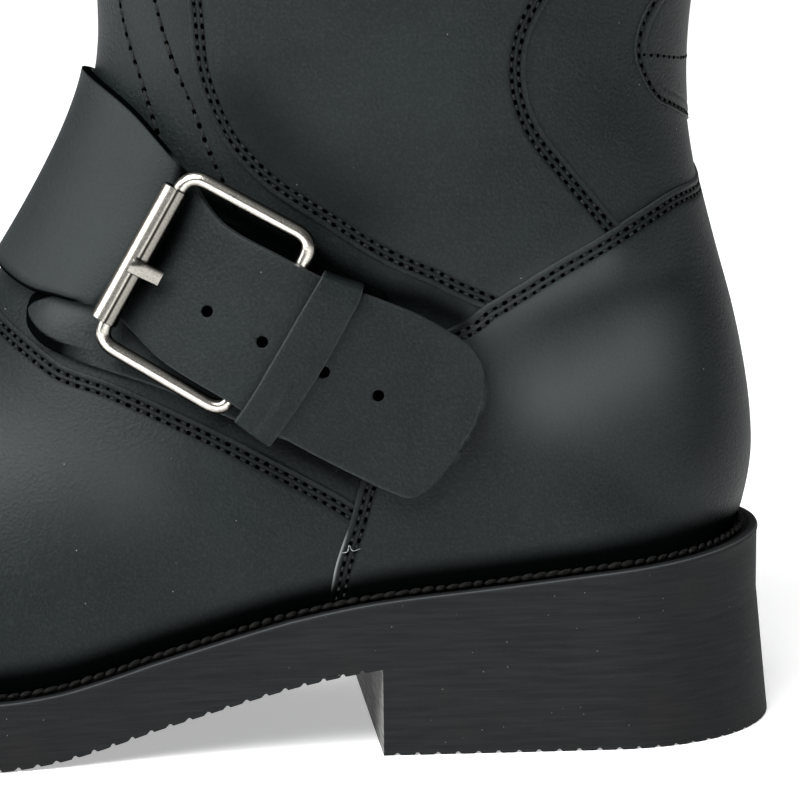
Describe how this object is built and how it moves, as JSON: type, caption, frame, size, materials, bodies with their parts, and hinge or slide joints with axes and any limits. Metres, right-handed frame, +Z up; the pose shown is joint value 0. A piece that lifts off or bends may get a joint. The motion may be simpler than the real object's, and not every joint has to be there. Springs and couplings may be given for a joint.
{
  "type": "biker boot",
  "caption": "Left welted leather biker boot: hollow shaft open at the collar, buckled instep strap with roller buckle, stacked heel and rubber outsole with toe spring.",
  "frame": {"origin": "on the floor under the middle of the heel, at the centre of the heel's flat wear face", "axes": "+X from the heel to the toe, +Y to the outer side of the foot, +Z up"},
  "size_m": [0.3052, 0.1088, 0.2701],
  "materials": {
    "leather": "black waxed leather, matt to satin",
    "sole_rubber": "black rubber, sanded matt",
    "buckle_metal": "antique nickel plate",
    "insole_leather": "plain undyed leather board"
  },
  "bodies": {
    "root": {"outsole": "sole_rubber", "welt": "sole_rubber", "heel_block": "sole_rubber", "heel_top_lift": "sole_rubber", "insole": "insole_leather", "upper": "leather", "vamp": "leather", "heel_counter": "leather", "quarter_lateral": "leather", "quarter_medial": "leather", "back_patch": "leather", "instep_strap": "leather", "buckle_guard": "leather", "strap_keeper": "leather", "buckle_frame": "buckle_metal", "buckle_roller": "buckle_metal", "buckle_prong": "buckle_metal"}
  },
  "joints": []
}
